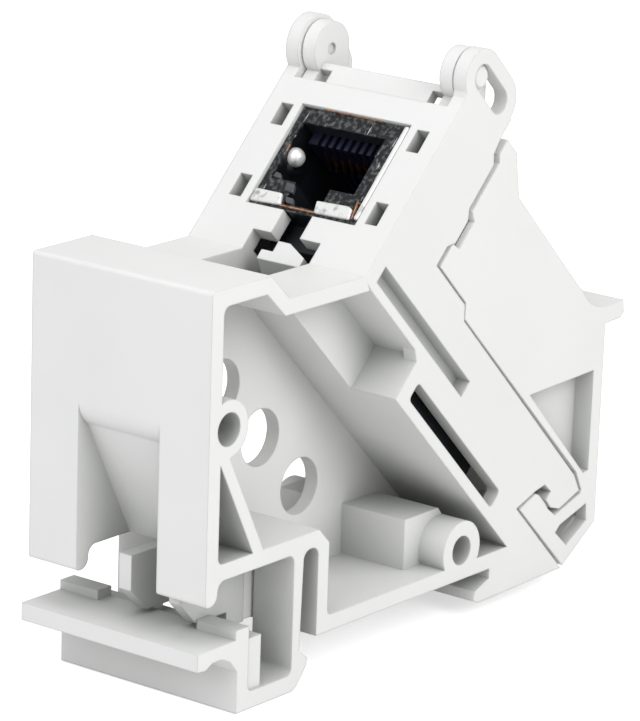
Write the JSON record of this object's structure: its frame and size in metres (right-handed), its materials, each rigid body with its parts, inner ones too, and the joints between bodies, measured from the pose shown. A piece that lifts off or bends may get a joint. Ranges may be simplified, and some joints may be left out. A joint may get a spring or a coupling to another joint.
{
  "type": "din rail ethernet interface module",
  "caption": "Rail-mounted housing with a shielded modular socket facing up at 45 degrees, a spring foot, and a rear cover that slides on pins in slotted ears.",
  "frame": {"origin": "middle of the rail on the rail seat, at half the module's width", "axes": "+X across the rail towards the fixed hook and the rear cover, +Y along the rail, +Z away from the rail"},
  "size_m": [0.0789, 0.0256, 0.069],
  "materials": {
    "light_housing": "satin",
    "light_cover": "satin",
    "shield_metal": "satin",
    "black_plastic": "satin",
    "comb_plastic": "satin",
    "gold_contact": "polished",
    "board": "satin",
    "blade_metal": "satin",
    "copper_strap": "satin"
  },
  "bodies": {
    "module": {"housing": "light_housing", "jack_shield": "shield_metal", "jack_body": "black_plastic", "contact_comb": "comb_plastic", "contact_1": "gold_contact", "contact_2": "gold_contact", "contact_3": "gold_contact", "contact_4": "gold_contact", "contact_5": "gold_contact", "contact_6": "gold_contact", "contact_7": "gold_contact", "contact_8": "gold_contact", "jack_board": "board", "idc_block": "black_plastic", "idc_contact_1": "blade_metal", "idc_contact_2": "blade_metal", "idc_contact_3": "blade_metal", "idc_contact_4": "blade_metal", "idc_contact_5": "blade_metal", "idc_contact_6": "blade_metal", "idc_contact_7": "blade_metal", "idc_contact_8": "blade_metal", "wire_cap": "black_plastic", "shield_strap": "copper_strap"},
    "cover": {"rear_cover": "light_cover"}
  },
  "joints": [
    {"name": "cover_slide", "type": "slide", "parent": "module", "child": "cover", "axis": [0.7071, 0, -0.7071], "range_m": [0, 0.0045]}
  ]
}
